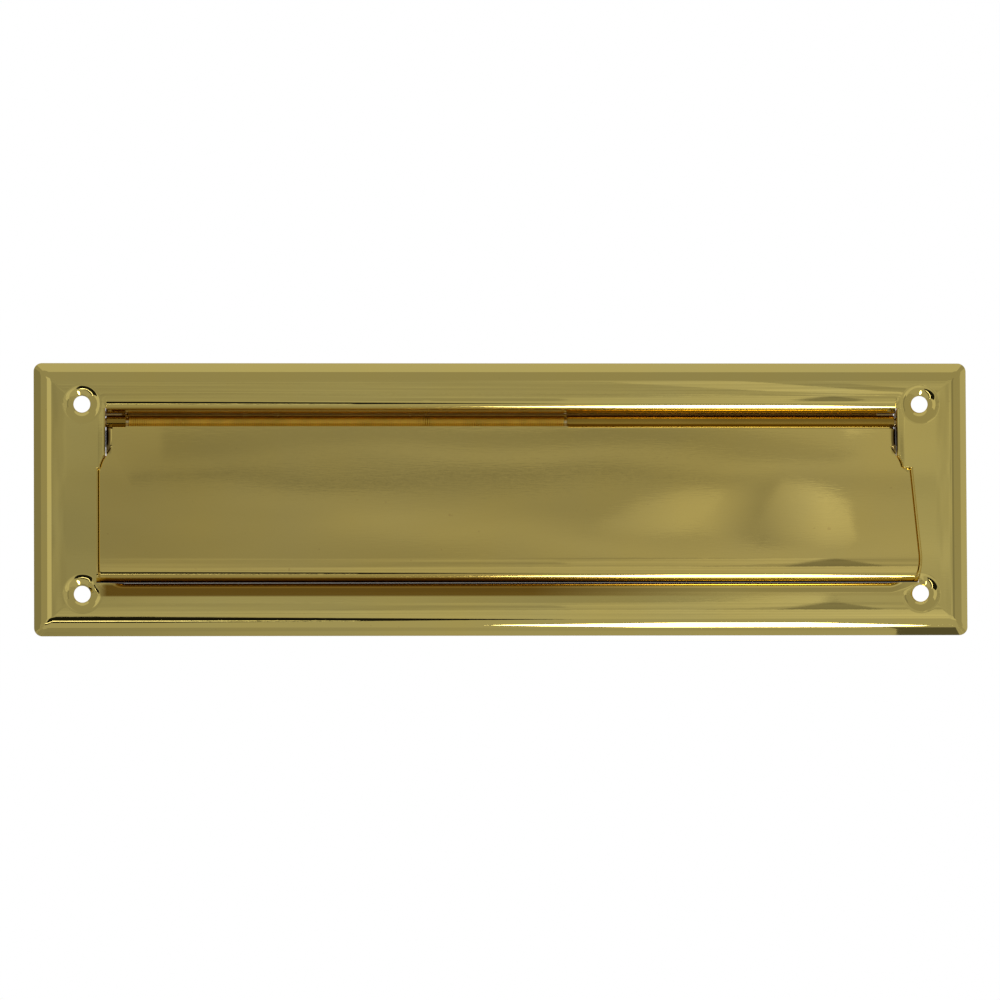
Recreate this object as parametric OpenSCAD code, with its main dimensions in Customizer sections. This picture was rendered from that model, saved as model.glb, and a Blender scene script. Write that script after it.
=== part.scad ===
// Letter plate for a door: a pressed brass plate with a sprung flap that swings inwards.
//
// Frame: +X to the right, +Y into the door, +Z up, in millimetres. The origin is the middle
// of the screw holes' rectangle, in the plane of the door's face, so the plate's rim and the
// backs of its screw dimples are at y = 0 and its front looks along -Y.
// The flap is drawn shut. It turns about the hinge rod, and its foot swings towards +Y.

/* [Front plate] */
// Overall width of the plate
plate_w = 330; // [326:1:345]
// Overall height of the plate
plate_h = 96.5; // [94:0.5:110]
// Depth from the door's face to the front of the plate
plate_d = 4.5; // [4.4:0.1:5]
// Thickness of the plate's sheet
plate_t = 1; // [0.9:0.05:1.1]
// Width of the sloping edge, seen from the front
bevel_w = 5.5; // [5:0.25:6.5]
// Radius of the plate's corners, seen from the front
corner_r = 3; // [1:0.5:5]

/* [Opening] */
// Distance of the left side edge from the middle of the plate
left_side_x = 143.2; // [142.9:0.1:143.6]
// Distance of the right side edge from the middle, at its upper end
right_side_x = 145.4; // [143.5:0.1:146]
// Distance of the right side edge from the middle, near its lower end
right_foot_x = 148.6; // [146:0.1:149]
// Height of the upper lip's underside above the middle of the plate
lip_top_z = 30.3; // [30.2:0.1:30.8]
// Height of the lower lip's top face, below the middle of the plate
lip_foot_z = -29.6; // [-30.2:0.1:-29.5]
// Outer bend radius of the upper lip
lip_top_r = 4.5; // [4:0.25:5]
// Outer bend radius of the lower lip
lip_foot_r = 3.8; // [3.5:0.1:4]
// How far the lips reach behind the door's face
lip_reach = 7; // [6:0.25:8]

/* [Screw holes] */
// Diameter of the screw holes
hole_d = 6; // [5:0.25:6.5]
// Diameter of the pressed dimple round a hole
dimple_d = 11.2; // [10.5:0.1:12]
// Depth of the dimple's slope
dimple_slope = 2.3; // [1.5:0.1:2.8]
// Distance between the holes along the plate
hole_pitch_x = 296; // [295.6:0.2:298]
// Distance between the holes up the plate
hole_pitch_z = 66.9; // [66.5:0.1:68]

/* [Hinge] */
// Distance of the hinge axis behind the door's face
hinge_y = 1.8; // [1.7:0.05:2]
// Height of the hinge axis above the middle of the plate
hinge_z = 27.3; // [27.1:0.05:27.4]
// Diameter of the hinge rod
rod_d = 3.2; // [2.8:0.1:3.2]
// Running clearance of the rod in its bores, on the radius
rod_play = 0.05; // [0.02:0.01:0.08]
// Outer diameter of the hinge barrels and of the spring
barrel_d = 5.2; // [5:0.05:5.2]
// Distance between the two ears, which is the longest letter that goes through
slot_w = 279.4; // [279:0.1:279.8]
// Thickness of the ears
ear_t = 1; // [0.9:0.05:1.1]
// Outer bend radius of the ears
ear_r = 1.2; // [1.1:0.05:1.4]
// Height of the ears' lower ends above the middle of the plate
ear_foot_z = 15.4; // [15.3:0.1:16.5]
// Height of the lower ends of the tabs that carry the ears
tab_foot_z = 11.1; // [11:0.05:11.4]
// Radius of the lug round each end of the rod
lug_r = 3.4; // [3:0.1:3.5]

/* [Flap] */
// Thickness of the flap's sheet
flap_t = 0.8; // [0.7:0.05:0.8]
// Distance of the flap's face behind the front of the plate
flap_set_back = 0.2; // [0.1:0.05:0.3]
// Width of the flap's neck, between the ears
neck_w = 274.4; // [274:0.1:274.6]
// Outer radius of the neck's rolled edges
neck_r = 2.1; // [1.5:0.1:2.1]
// Height of the neck's lower end, where the shoulders start
neck_foot_z = 18.5; // [18.3:0.1:19]
// How far a shoulder reaches out from the neck
shoulder_w = 4.7; // [4.5:0.1:4.8]
// Gap between the flap's raised face and the opening's side edges
flap_gap = 0.6; // [0.4:0.1:0.8]
// How far the flap's margins reach behind the plate on each side
margin_reach = 3.5; // [2.5:0.25:3.5]
// Outer radius of the roll along the flap's foot
foot_r = 3.85; // [3.5:0.05:3.85]
// Gap between the flap's foot and the lower lip
foot_gap = 0.3; // [0.3:0.05:0.6]

/* [Spring] */
// Diameter of the spring's wire
wire_d = 0.8; // [0.6:0.05:0.8]
// Where the coil starts, near the left ear
coil_x0 = -132.5; // [-133:0.5:-120]
// Where the coil ends, at the long barrel
coil_x1 = 23.2; // [0:0.2:40]
// Length of the leg that presses on the back of the flap
flap_leg = 15; // [10:1:20]

/* [Hidden] */
$fn = 96;

brass = [0.72, 0.60, 0.30];
steel = [0.72, 0.73, 0.74];
spring_steel = [0.55, 0.47, 0.33];

// Front plate
face_y = -plate_d;
back_y = face_y + plate_t;
bevel_a = atan2(plate_d, bevel_w);
bevel_run = plate_t / sin(bevel_a);
slot_x = slot_w / 2;
bend_x = slot_x + ear_r;
lip_gap = 0.3;
lip_x = slot_x - lip_gap;
lip_foot_x = left_side_x - lip_foot_r;
lip_foot_reach = lip_reach - 3;
lip_line_z = lip_top_z + lip_top_r;
sill_line_z = lip_foot_z - lip_foot_r;
relief = 0.25;
ear_top_z = hinge_z + 4.4;
ear_bend_y = face_y + ear_r;
slant_foot_z = -22;
right_corner_x = right_foot_x - 1.3;
tab_gap = 0.4;
bore_r = rod_d / 2 + rod_play;
dimple_back_r = hole_d / 2 + 0.9;
dimple_root_r = dimple_d / 2 + 0.6;

// Flap
flap_y = face_y + flap_set_back;
flap_back_y = flap_y + flap_t;
neck_x = neck_w / 2;
neck_return_y = 0.5;
barrel_r = barrel_d / 2;
flap_top_z = hinge_z - barrel_r + flap_t;
flap_foot_z = lip_foot_z + foot_gap;
wide_top_z = tab_foot_z - 0.5;
shoulder_h = neck_foot_z - wide_top_z;
shoulder_steps = 20;
top_r = 0.9;
corner_cut = 2;
foot_centre_y = flap_y + foot_r;
foot_line_z = flap_foot_z + foot_r;
foot_return_y = foot_centre_y + 3.5;
stop_gap = 0.1;
margin_y = back_y + stop_gap;
margin_foot_z = foot_line_z - 1.2;
coil_gap = 0.3;

// Rod, spring and retainers
rod_x = slot_x + ear_t + 2.2;
rod_chamfer = 0.3;
wire_r = wire_d / 2;
coil_r = barrel_r - wire_r;
coil_bore_r = rod_d / 2 + 0.15;
flap_leg_y = flap_back_y + wire_r + 0.05;
lip_leg_y = lip_reach - 0.9;
lip_leg_z = lip_top_z - wire_r - 0.05;
nut_gap = 0.05;
nut_r = 2.9;
nut_t = 0.5;
nut_h = 1.1;
nut_bite = 0.02;
eps = 0.01;

// Extrudes an outline drawn as (y, z) from x0 to x1
module along_x(x0, x1)
    translate([x0, 0, 0])
        rotate([90, 0, 90])
            linear_extrude(x1 - x0)
                children();

// Extrudes an outline drawn as (x, z) from y0 to y1
module along_y(y0, y1)
    translate([0, y1, 0])
        rotate([90, 0, 0])
            linear_extrude(y1 - y0)
                children();

// Extrudes an outline drawn as (x, y) from z0 to z1
module along_z(z0, z1)
    translate([0, 0, z0])
        linear_extrude(z1 - z0)
            children();

// Repeats its children on the other side of the plate's middle
module both_sides() {
    children();
    mirror([1, 0, 0]) children();
}

// A rectangle between two corners
module span(a, b)
    translate(a)
        square(b - a);

// A sheet's quarter bend about a centre: the ring of one quadrant, turned by turn
module bend(centre, r, t, turn)
    translate(centre)
        rotate(turn)
            difference() {
                intersection() {
                    circle(r);
                    square(r);
                }
                circle(r - t);
            }

// A rectangle about the middle with round corners
module round_rect(w, h, r)
    for (sx = [-1, 1], sz = [-1, 1])
        translate([sx * (w / 2 - r), sz * (h / 2 - r)]) {
            circle(r);
            translate([sx < 0 ? 0 : r - w / 2, sz < 0 ? -r : 0])
                square([w / 2 - r, r]);
            translate([sx < 0 ? -r : 0, sz < 0 ? 0 : r - h / 2])
                square([r, h / 2 - r]);
            translate([sx < 0 ? 0 : r - w / 2, sz < 0 ? 0 : r - h / 2])
                square([w / 2 - r, h / 2 - r]);
        }

// ---- Front plate

// The pan's solid shape, set in by run behind its outline and ending at front
module pan(run, front) {
    foot_w = plate_w - 2 * run;
    foot_h = plate_h - 2 * run;
    fall = -front * bevel_w / plate_d;
    intersection() {
        along_y(front, 0)
            round_rect(foot_w, foot_h, max(corner_r - run, 0.3));
        along_x(-foot_w / 2, foot_w / 2)
            polygon([[0, -foot_h / 2], [0, foot_h / 2],
                     [front, foot_h / 2 - fall], [front, fall - foot_h / 2]]);
        along_z(-foot_h / 2, foot_h / 2)
            polygon([[-foot_w / 2, 0], [foot_w / 2, 0],
                     [foot_w / 2 - fall, front], [fall - foot_w / 2, front]]);
    }
}

// Distance of the opening's side edge from the middle at height z, on the left (-1) or right (1)
function edge_x(side, z) =
    side < 0 ? left_side_x
             : lookup(z, [[lip_foot_z, right_corner_x], [slant_foot_z, right_foot_x],
                          [tab_foot_z, right_side_x]]);

// A point on the flap's shoulder, from the neck (t = 0) to the wide part (t = 1)
function shoulder(t) =
    [neck_x + shoulder_w * (1 - cos(180 * t)) / 2, neck_foot_z - shoulder_h * t];

// One half of the hole in the plate's face: its edges are the bend lines of the lips and the
// ear, the foot of the tab that carries the ear, and the plain side edge
module half_opening(side) {
    tab_edge = [for (i = [13:18]) shoulder(i / shoulder_steps) + [tab_gap, 0]];
    polygon(concat([[0, lip_line_z], [lip_x, lip_line_z], [lip_x, ear_top_z + relief],
                    [bend_x, ear_top_z + relief], [bend_x, ear_foot_z]],
                   tab_edge,
                   [[neck_x + shoulder_w + tab_gap, tab_foot_z],
                    [edge_x(side, tab_foot_z), tab_foot_z],
                    [edge_x(side, slant_foot_z), slant_foot_z],
                    [edge_x(side, lip_foot_z), lip_foot_z],
                    [lip_foot_x, lip_foot_z], [lip_foot_x, sill_line_z],
                    [0, sill_line_z]]));
    translate([lip_foot_x, lip_foot_z])
        circle(lip_foot_r);
}

module opening_outline() {
    half_opening(1);
    mirror([1, 0, 0]) half_opening(-1);
}

module upper_lip()
    along_x(-lip_x, lip_x) {
        bend([face_y + lip_top_r, lip_line_z], lip_top_r, plate_t, 180);
        span([face_y + lip_top_r, lip_top_z], [lip_reach, lip_top_z + plate_t]);
    }

// The right end of the lower lip, where its bend runs round the opening's corner
module lip_corner()
    translate([lip_foot_x, 0, lip_foot_z])
        rotate([90, 0, 0])
            mirror([0, 1, 0])
                rotate_extrude(angle = 90) {
                    bend([lip_foot_r, -face_y - lip_foot_r], lip_foot_r, plate_t, 90);
                    span([0, -lip_foot_reach], [plate_t, -face_y - lip_foot_r]);
                }

module lower_lip() {
    along_x(-lip_foot_x, lip_foot_x) {
        bend([face_y + lip_foot_r, sill_line_z], lip_foot_r, plate_t, 90);
        span([face_y + lip_foot_r, lip_foot_z - plate_t], [lip_foot_reach, lip_foot_z]);
    }
    both_sides() lip_corner();
}

// The right ear: bent back from the face, with a bored lug for the rod
module ear() {
    along_z(ear_foot_z, ear_top_z)
        bend([bend_x, ear_bend_y], ear_r, ear_t, 180);
    along_x(slot_x, slot_x + ear_t)
        difference() {
            union() {
                translate([hinge_y, hinge_z])
                    circle(lug_r);
                polygon([[ear_bend_y, ear_foot_z], [ear_bend_y + 1, ear_foot_z],
                         [hinge_y + 3, hinge_z - 1.6], [hinge_y, hinge_z],
                         [hinge_y + 0.6, hinge_z + 3.34], [ear_bend_y, ear_top_z]]);
            }
            translate([hinge_y, hinge_z])
                circle(bore_r);
        }
}

// The pressed dimple of one screw hole, reaching back to the door's face
module dimple()
    rotate([-90, 0, 0])
        rotate_extrude()
            polygon([[hole_d / 2, face_y + dimple_slope], [dimple_d / 2, face_y],
                     [dimple_root_r, face_y], [dimple_root_r, back_y],
                     [dimple_back_r, 0], [hole_d / 2, 0]]);

module at_holes()
    for (sx = [-1, 1], sz = [-1, 1])
        translate([sx * hole_pitch_x / 2, 0, sz * hole_pitch_z / 2])
            children();

module front_plate()
    color(brass) {
        difference() {
            union() {
                difference() {
                    pan(0, face_y);
                    pan(bevel_run, back_y);
                    at_holes()
                        rotate([90, 0, 0])
                            translate([0, 0, -1])
                                cylinder(r = dimple_root_r - eps, h = plate_d + 2);
                }
                at_holes() dimple();
            }
            along_y(face_y - 1, 1)
                opening_outline();
        }
        upper_lip();
        lower_lip();
        both_sides() ear();
    }

// ---- Flap

// One half of the flap's outline from the front, without the margin behind the plate
module half_flap(side) {
    foot_x = edge_x(side, lip_foot_z) - flap_gap;
    polygon(concat([[0, flap_top_z + 1], [neck_x, flap_top_z + 1]],
                   [for (i = [0:shoulder_steps]) shoulder(i / shoulder_steps)],
                   [[edge_x(side, wide_top_z) - flap_gap, wide_top_z],
                    [edge_x(side, slant_foot_z) - flap_gap, slant_foot_z],
                    [foot_x, flap_foot_z + corner_cut], [foot_x - corner_cut, flap_foot_z],
                    [0, flap_foot_z]]));
}

// The sheet's section: a flat face with a rolled foot that returns behind it
module flap_section() {
    span([flap_y, foot_line_z], [flap_back_y, flap_top_z - top_r]);
    bend([foot_centre_y, foot_line_z], foot_r, flap_t, 180);
    span([foot_centre_y, flap_foot_z], [foot_return_y, flap_foot_z + flap_t]);
}

// One hinge barrel, with the sheet that carries it back from the flap's top edge
module barrel(x0, x1)
    along_x(x0, x1)
        difference() {
            union() {
                bend([flap_y + top_r, flap_top_z - top_r], top_r, flap_t, 90);
                span([flap_y + top_r, flap_top_z - flap_t], [hinge_y, flap_top_z]);
                translate([hinge_y, hinge_z])
                    circle(barrel_r);
            }
            translate([hinge_y, hinge_z])
                circle(bore_r);
        }

// The neck's right edge, rolled back beside the ear
module neck_roll()
    along_z(neck_foot_z, flap_top_z - top_r) {
        bend([neck_x, flap_y + neck_r], neck_r, flap_t, 270);
        span([neck_x + neck_r - flap_t, flap_y + neck_r], [neck_x + neck_r, neck_return_y]);
    }

// A band along one side edge of the flap, from in to out of the edge, above foot_z
module side_band(side, in, out, foot_z)
    polygon([[edge_x(side, wide_top_z) - flap_gap - in, wide_top_z],
             [out, wide_top_z], [out, foot_z],
             [edge_x(side, foot_z) - flap_gap - in, foot_z],
             [edge_x(side, slant_foot_z) - flap_gap - in, slant_foot_z]]);

// One margin: steps back from the face and runs behind the plate, as the closed stop
module margin(side) {
    out = edge_x(side, slant_foot_z) + margin_reach;
    along_y(flap_y, margin_y + flap_t)
        intersection() {
            side_band(side, flap_t, out, foot_line_z);
            half_flap(side);
        }
    along_y(margin_y, margin_y + flap_t)
        side_band(side, flap_t, out, margin_foot_z);
}

module flap()
    color(brass) {
        intersection() {
            along_x(-right_foot_x, right_foot_x)
                flap_section();
            along_y(flap_y, foot_return_y) {
                half_flap(1);
                mirror([1, 0, 0]) half_flap(-1);
            }
        }
        along_x(coil_x0 - coil_gap, coil_x1 + coil_gap)
            span([flap_y, flap_top_z - top_r - eps], [flap_back_y, flap_top_z]);
        barrel(-neck_x, coil_x0 - coil_gap);
        barrel(coil_x1 + coil_gap, neck_x);
        both_sides() neck_roll();
        margin(1);
        mirror([1, 0, 0]) margin(-1);
    }

// ---- Rod, spring and retainers

module hinge_rod()
    color(steel)
        translate([0, hinge_y, hinge_z])
            rotate([0, 90, 0])
                rotate_extrude()
                    polygon([[0, -rod_x], [rod_d / 2 - rod_chamfer, -rod_x],
                             [rod_d / 2, rod_chamfer - rod_x],
                             [rod_d / 2, rod_x - rod_chamfer],
                             [rod_d / 2 - rod_chamfer, rod_x], [0, rod_x]]);

// A straight length of the spring's wire, from a to b
module wire(a, b) {
    run = b - a;
    length = norm(run);
    translate(a)
        rotate([0, acos(run[2] / length), atan2(run[1], run[0])])
            cylinder(d = wire_d, h = length);
}

// The close-wound coil as a sleeve, with the leg under the upper lip and the leg on the flap
module torsion_spring()
    color(spring_steel) {
        along_x(coil_x0, coil_x1)
            translate([hinge_y, hinge_z])
                difference() {
                    circle(barrel_r);
                    circle(coil_bore_r);
                }
        wire([coil_x0 + wire_d, hinge_y, hinge_z + coil_r],
             [coil_x0 + wire_d, lip_leg_y, lip_leg_z]);
        wire([coil_x1 - wire_d, hinge_y - coil_r, hinge_z],
             [coil_x1 - wire_d, flap_leg_y, hinge_z - flap_leg]);
    }

// A push-on nut on the rod's right end: a flat ring with a raised collar that grips the rod
module rod_retainer()
    color(steel)
        translate([slot_x + ear_t + nut_gap, hinge_y, hinge_z])
            rotate([0, 90, 0])
                rotate_extrude()
                    polygon([[rod_d / 2 - nut_bite, 0], [nut_r, 0], [nut_r, nut_t],
                             [rod_d / 2 + 0.7, nut_t], [rod_d / 2 + 0.4, nut_h],
                             [rod_d / 2 - nut_bite, nut_h]]);

module rod_retainer_left() mirror([1, 0, 0]) rod_retainer();

module rod_retainer_right() rod_retainer();

front_plate();
flap();
hinge_rod();
torsion_spring();
rod_retainer_left();
rod_retainer_right();
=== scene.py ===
from math import cos, pi, radians, sin, tan

import bpy
import numpy as np
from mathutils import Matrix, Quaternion, Vector
from mathutils.geometry import delaunay_2d_cdt


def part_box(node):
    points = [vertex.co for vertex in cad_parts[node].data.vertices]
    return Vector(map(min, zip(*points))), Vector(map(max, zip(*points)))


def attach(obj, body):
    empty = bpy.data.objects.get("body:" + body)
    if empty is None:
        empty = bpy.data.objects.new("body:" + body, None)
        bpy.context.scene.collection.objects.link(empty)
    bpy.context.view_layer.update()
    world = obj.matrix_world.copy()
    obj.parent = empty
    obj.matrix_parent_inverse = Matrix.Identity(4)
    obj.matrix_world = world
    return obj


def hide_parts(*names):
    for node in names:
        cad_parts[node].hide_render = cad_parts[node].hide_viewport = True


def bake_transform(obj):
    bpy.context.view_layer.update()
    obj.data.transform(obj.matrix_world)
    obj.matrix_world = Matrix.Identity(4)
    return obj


# A pressed brass letter plate with a sprung flap, shown from the front against white.
# Shapes are worked out in millimetres in the CAD frame: +X right, +Y into the door, +Z up.

MM = 0.001
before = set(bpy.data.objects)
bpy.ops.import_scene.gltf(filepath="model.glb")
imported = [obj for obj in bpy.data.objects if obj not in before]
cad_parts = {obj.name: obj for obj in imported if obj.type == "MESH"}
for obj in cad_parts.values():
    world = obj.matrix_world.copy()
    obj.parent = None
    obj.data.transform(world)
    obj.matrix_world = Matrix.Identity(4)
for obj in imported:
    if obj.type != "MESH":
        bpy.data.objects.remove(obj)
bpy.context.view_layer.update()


def box_mm(node):
    """The lowest and highest corner of a CAD node, in millimetres."""
    low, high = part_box(node)
    return np.array(low) / MM, np.array(high) / MM


# ---- Sizes taken from the CAD frame

PLATE_LOW, PLATE_HIGH = box_mm("front_plate")
FLAP_LOW, FLAP_HIGH = box_mm("flap")
ROD_LOW, ROD_HIGH = box_mm("hinge_rod")
COIL_LOW, COIL_HIGH = box_mm("torsion_spring")
NUT_LOW, NUT_HIGH = box_mm("rod_retainer_right")

HALF_W, HALF_H = PLATE_HIGH[0], PLATE_HIGH[2]
FACE_Y = PLATE_LOW[1]
LIP_REACH = PLATE_HIGH[1]
HINGE_Y, HINGE_Z = (ROD_LOW[1] + ROD_HIGH[1]) / 2, (ROD_LOW[2] + ROD_HIGH[2]) / 2
ROD_R = (ROD_HIGH[2] - ROD_LOW[2]) / 2
BARREL_R = FLAP_HIGH[2] - HINGE_Z
FLAP_Y = FLAP_LOW[1]
FLAP_FOOT_Z = FLAP_LOW[2]

# ---- Sizes of the front plate

PLATE_SHEET, EDGE_R = 1.0, 0.15
CORNER_R, CORNER_SHARPEN = 3.0, 0.35
SLOPE_A, SLOPE_R = radians(48), 7.4
LEAD, LEAD_A = 5.0, radians(4)
HOLE_R, HOLE_X, HOLE_Z = 2.85, 148.0, 33.45
HOLES = [(x, z) for x in (-HOLE_X, HOLE_X) for z in (-HOLE_Z, HOLE_Z)]
DIMPLE_R, DIMPLE_FALL, DIMPLE_FADE = 7.2, 1.9, 3.0
CIRCLE_STEPS = 80

# The upper lip runs up to the ears, and the lower lip round the opening's lower corners.
# The hem is HEM_BACK short of the lip's reach, and HEM_PART of its HEM_STEPS are full length.
LIP_TOP_Z, LIP_TOP_R, LIP_END_X = 30.3, 4.5, 139.4
LIP_LEAD, LIP_FADE = 3.5, 3.2
HEM_R, HEM_A, HEM_END_X = 1.3, radians(95), 134.5
HEM_STEPS, HEM_PART, HEM_BACK = 20, 11, 1.02
LIP_FOOT_Z, LIP_FOOT_R, SILL_BACK_Y = -29.6, 3.8, 4.0
LIP_CORNER_W, LIP_CORNER_P = 10.0, {-1: 1.0, 1: 1.54}

# Each ear stands beside a small relief cut, and a tab of the plate lies below it.
EAR_X, EAR_R = 139.7, 1.2
EAR_FOOT_Z, EAR_TOP_Z = 15.4, 31.7
LUG_R = 3.4
RELIEF_H, RELIEF_W = 0.25, 0.12
TAB_FOOT_Z, TAB_GAP = 11.1, 0.4

# Where the opening's side edges lie at three heights, on the left (-1) and on the right (1).
EDGE_LOW_Z = -22.0
EDGE_ZS = (LIP_FOOT_Z, EDGE_LOW_Z, TAB_FOOT_Z)
EDGE_XS = {-1: (143.2, 143.2, 143.2), 1: (147.3, 148.7, 145.4)}

# ---- Sizes of the flap

FLAP_SHEET = 0.8
FLAP_GAP = 0.6
NECK_X, NECK_R, NECK_RETURN_Y = 137.2, 2.25, 4.6
NECK_FOOT_Z, WIDE_TOP_Z = 21.5, 10.6
NECK_INSET = 0.6
SHOULDER_W = 4.7
TOP_R = 0.9
FOOT_R, FOOT_RETURN = 3.85, 5.0
FOOT_CORNER_W, FOOT_CORNER_H, FOOT_CORNER_UP = 2.4, 7.0, 1.5
ROLL_GAP = 0.15
STEP_W, STEP_BACK, STEP_FADE, STEP_END_A = 0.8, 0.9, 1.6, 1.2
MARGIN_TOP_Z, MARGIN_REACH, MARGIN_R = 15.1, 3.5, 2
CURL_END = radians(222)
BARREL_END_X, FLANGE_X = EAR_X - 0.5, EAR_X - 0.25
COIL_GAP = 0.12

# ---- Sizes of the spring

WIRE_D, WIRE_GAP = 0.8, 0.05
TURNS, TURN_STEPS = 194.5, 20
SPRING_LEG, LEG_SHORT = 15.0, 0.9

# ---- Sizes that follow from these

LIP_LINE_Z = LIP_TOP_Z + LIP_TOP_R * (1 - sin(LEAD_A))
SILL_LINE_Z = LIP_FOOT_Z - LIP_FOOT_R
EAR_BEND_X = EAR_X + EAR_R
FLAP_TOP_Z = HINGE_Z - BARREL_R + FLAP_SHEET
TOP_LINE_Z = FLAP_TOP_Z - TOP_R
FOOT_LINE_Z = FLAP_FOOT_Z + FOOT_R * (1 - sin(LEAD_A))
FOOT_ARC = FOOT_R * (pi / 2 - LEAD_A)
COIL_X0, COIL_X1 = COIL_LOW[0], COIL_HIGH[0]


WELD = 0.001


def unit(vectors):
    """The same vectors made 1 long."""
    return vectors / np.maximum(np.linalg.norm(vectors, axis=-1, keepdims=True), 1e-9)


def pair(u, v):
    """Flat points from their two coordinates."""
    return np.stack([u, v], 1)


def smooth(t):
    """An even share from 0 to 1, made level at both ends."""
    return t * t * (3 - 2 * t)


# ---- Sheet metal: a skin of points with the way they face, thickened into a closed sheet

class Skin:
    """The outer face of a sheet: points, the directions they face, and polygons."""

    def __init__(self):
        self.points, self.normals, self.faces, self.count = [], [], [], 0

    def add(self, points, normals, faces):
        """Adds points, the way they face, and polygons that count from the first of them."""
        points = np.asarray(points, float).reshape(-1, 3)
        self.points.append(points)
        self.normals.append(unit(np.asarray(normals, float).reshape(-1, 3)))
        self.faces += [tuple(int(i) + self.count for i in f) for f in faces]
        self.count += len(points)

    def add_grid(self, points, normals):
        """Adds a grid. points and normals are arrays of rows by columns by 3."""
        rows, columns = points.shape[:2]
        starts = [r * columns + c for r in range(rows - 1) for c in range(columns - 1)]
        faces = [(a, a + 1, a + columns + 1, a + columns) for a in starts]
        corner = points[0, 0]
        turn = np.cross(points[0, 1] - corner, points[1, 0] - corner) @ normals[0, 0]
        if turn < 0:
            faces = [f[::-1] for f in faces]
        self.add(points, normals, faces)

    def mirrored(self):
        """The same skin on the other side of the plate's middle."""
        other = Skin()
        flip = np.array([-1, 1, 1])
        other.add(np.vstack(self.points) * flip, np.vstack(self.normals) * flip,
                  [f[::-1] for f in self.faces])
        return other

    def take(self, other):
        """Adds another skin to this one."""
        self.add(np.vstack(other.points), np.vstack(other.normals), other.faces)

    def welded(self):
        """Points, normals and faces, with the points that coincide made one."""
        points, normals = np.vstack(self.points), np.vstack(self.normals)
        keys = np.round(points / WELD).astype(np.int64)
        _, first, index = np.unique(keys, axis=0, return_index=True, return_inverse=True)
        index = index.ravel()
        total = np.zeros((len(first), 3))
        np.add.at(total, index, normals)
        faces = []
        for f in self.faces:
            ring = [index[i] for i in f]
            ring = [v for k, v in enumerate(ring) if v != ring[k - 1]]
            if len(ring) > 2:
                faces.append(tuple(ring))
        return points[first], unit(total), faces


def open_edges(faces):
    """The edges that only one face uses, each in that face's direction."""
    used = {(a, f[(k + 1) % len(f)]): True for f in faces for k, a in enumerate(f)}
    return [(a, b) for a, b in used if (b, a) not in used]


def thicken(skin, thickness, edge_r=EDGE_R):
    """Closes a skin into a sheet whose cut edges are rounded by edge_r."""
    points, normals, faces = skin.welded()
    rim = open_edges(faces)
    out = np.zeros_like(points)
    for a, b in rim:
        away = unit(np.cross(points[b] - points[a], normals[a] + normals[b]))
        out[a] += away
        out[b] += away
    on_rim = sorted({v for e in rim for v in e})
    side, facing = out[on_rim], normals[on_rim]
    side = unit(side - (side * facing).sum(1, keepdims=True) * facing)
    n = len(points)
    row_at = {v: k for k, v in enumerate(on_rim)}
    all_points = [points, points - normals * thickness]
    all_normals = [normals, -normals]
    # The rounded edge's rows: how far each has turned, and how much deeper it lies.
    turns = [(pi / 4, 0.0), (pi / 2, 0.0), (pi / 2, thickness - 2 * edge_r),
             (3 * pi / 4, thickness - 2 * edge_r)]
    for a, shift in turns:
        depth = edge_r * (1 - cos(a)) + shift
        all_points.append(points[on_rim] + side * edge_r * sin(a) - facing * depth)
        all_normals.append(facing * cos(a) + side * sin(a))
    all_faces = list(faces) + [tuple(v + n for v in f[::-1]) for f in faces]
    rows = 2 * n + len(on_rim) * np.arange(len(turns))
    for edge in rim:
        a, b = [[v, *(rows + row_at[v]).tolist(), v + n] for v in edge]
        for k in range(len(a) - 1):
            all_faces.append((b[k], a[k], a[k + 1], b[k + 1]))
    return np.vstack(all_points), np.vstack(all_normals), all_faces


def make_piece(name, points, normals, faces, material):
    """A mesh object from millimetre points, shaded by the given normals."""
    mesh = bpy.data.meshes.new(name)
    mesh.from_pydata((points * MM).tolist(), [], faces)
    mesh.polygons.foreach_set("use_smooth", [True] * len(mesh.polygons))
    mesh.normals_split_custom_set_from_vertices(unit(normals).tolist())
    mesh.materials.append(material)
    mesh.update()
    piece = bpy.data.objects.new(name, mesh)
    bpy.context.scene.collection.objects.link(piece)
    return piece


def inside(points, loop):
    """Which of the flat points lie inside a closed loop."""
    x, z = points[:, 0], points[:, 1]
    odd = np.zeros(len(points), bool)
    for (x0, z0), (x1, z1) in zip(loop, np.roll(loop, -1, axis=0)):
        if z0 == z1:
            continue
        crosses = (z0 > z) != (z1 > z)
        odd ^= crosses & (x < x0 + (z - z0) * (x1 - x0) / (z1 - z0))
    return odd


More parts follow.
